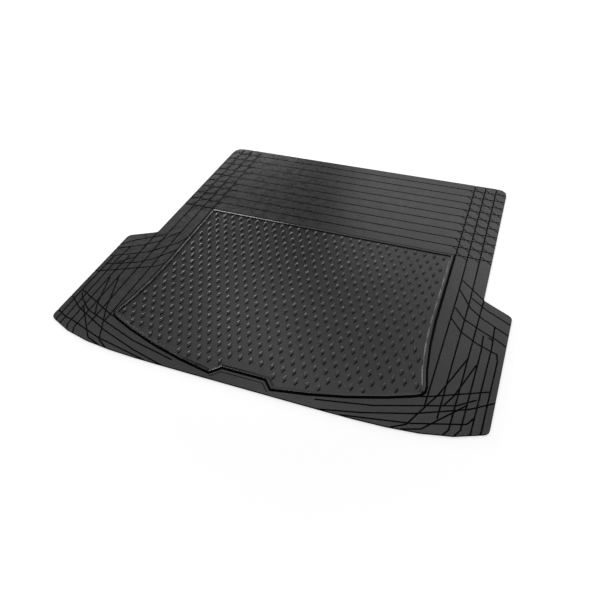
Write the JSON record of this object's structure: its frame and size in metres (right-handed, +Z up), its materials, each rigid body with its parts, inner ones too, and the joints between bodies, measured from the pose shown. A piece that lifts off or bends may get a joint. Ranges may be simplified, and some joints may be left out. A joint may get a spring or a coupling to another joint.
{
  "type": "car boot liner",
  "caption": "Flat moulded rubber mat for a car boot, with wide front ears, trim grooves and a studded tray inside a low rail.",
  "frame": {"origin": "under the middle of the mat's outline, on the boot floor", "axes": "+X to the right across the mat, +Y to the straight seat edge, +Z up out of the studded face"},
  "size_m": [1.2014, 1.119, 0.0077],
  "materials": {
    "rubber": "matte to satin black moulded rubber with a fine grain"
  },
  "bodies": {
    "root": {"boot_liner": "rubber"}
  },
  "joints": []
}
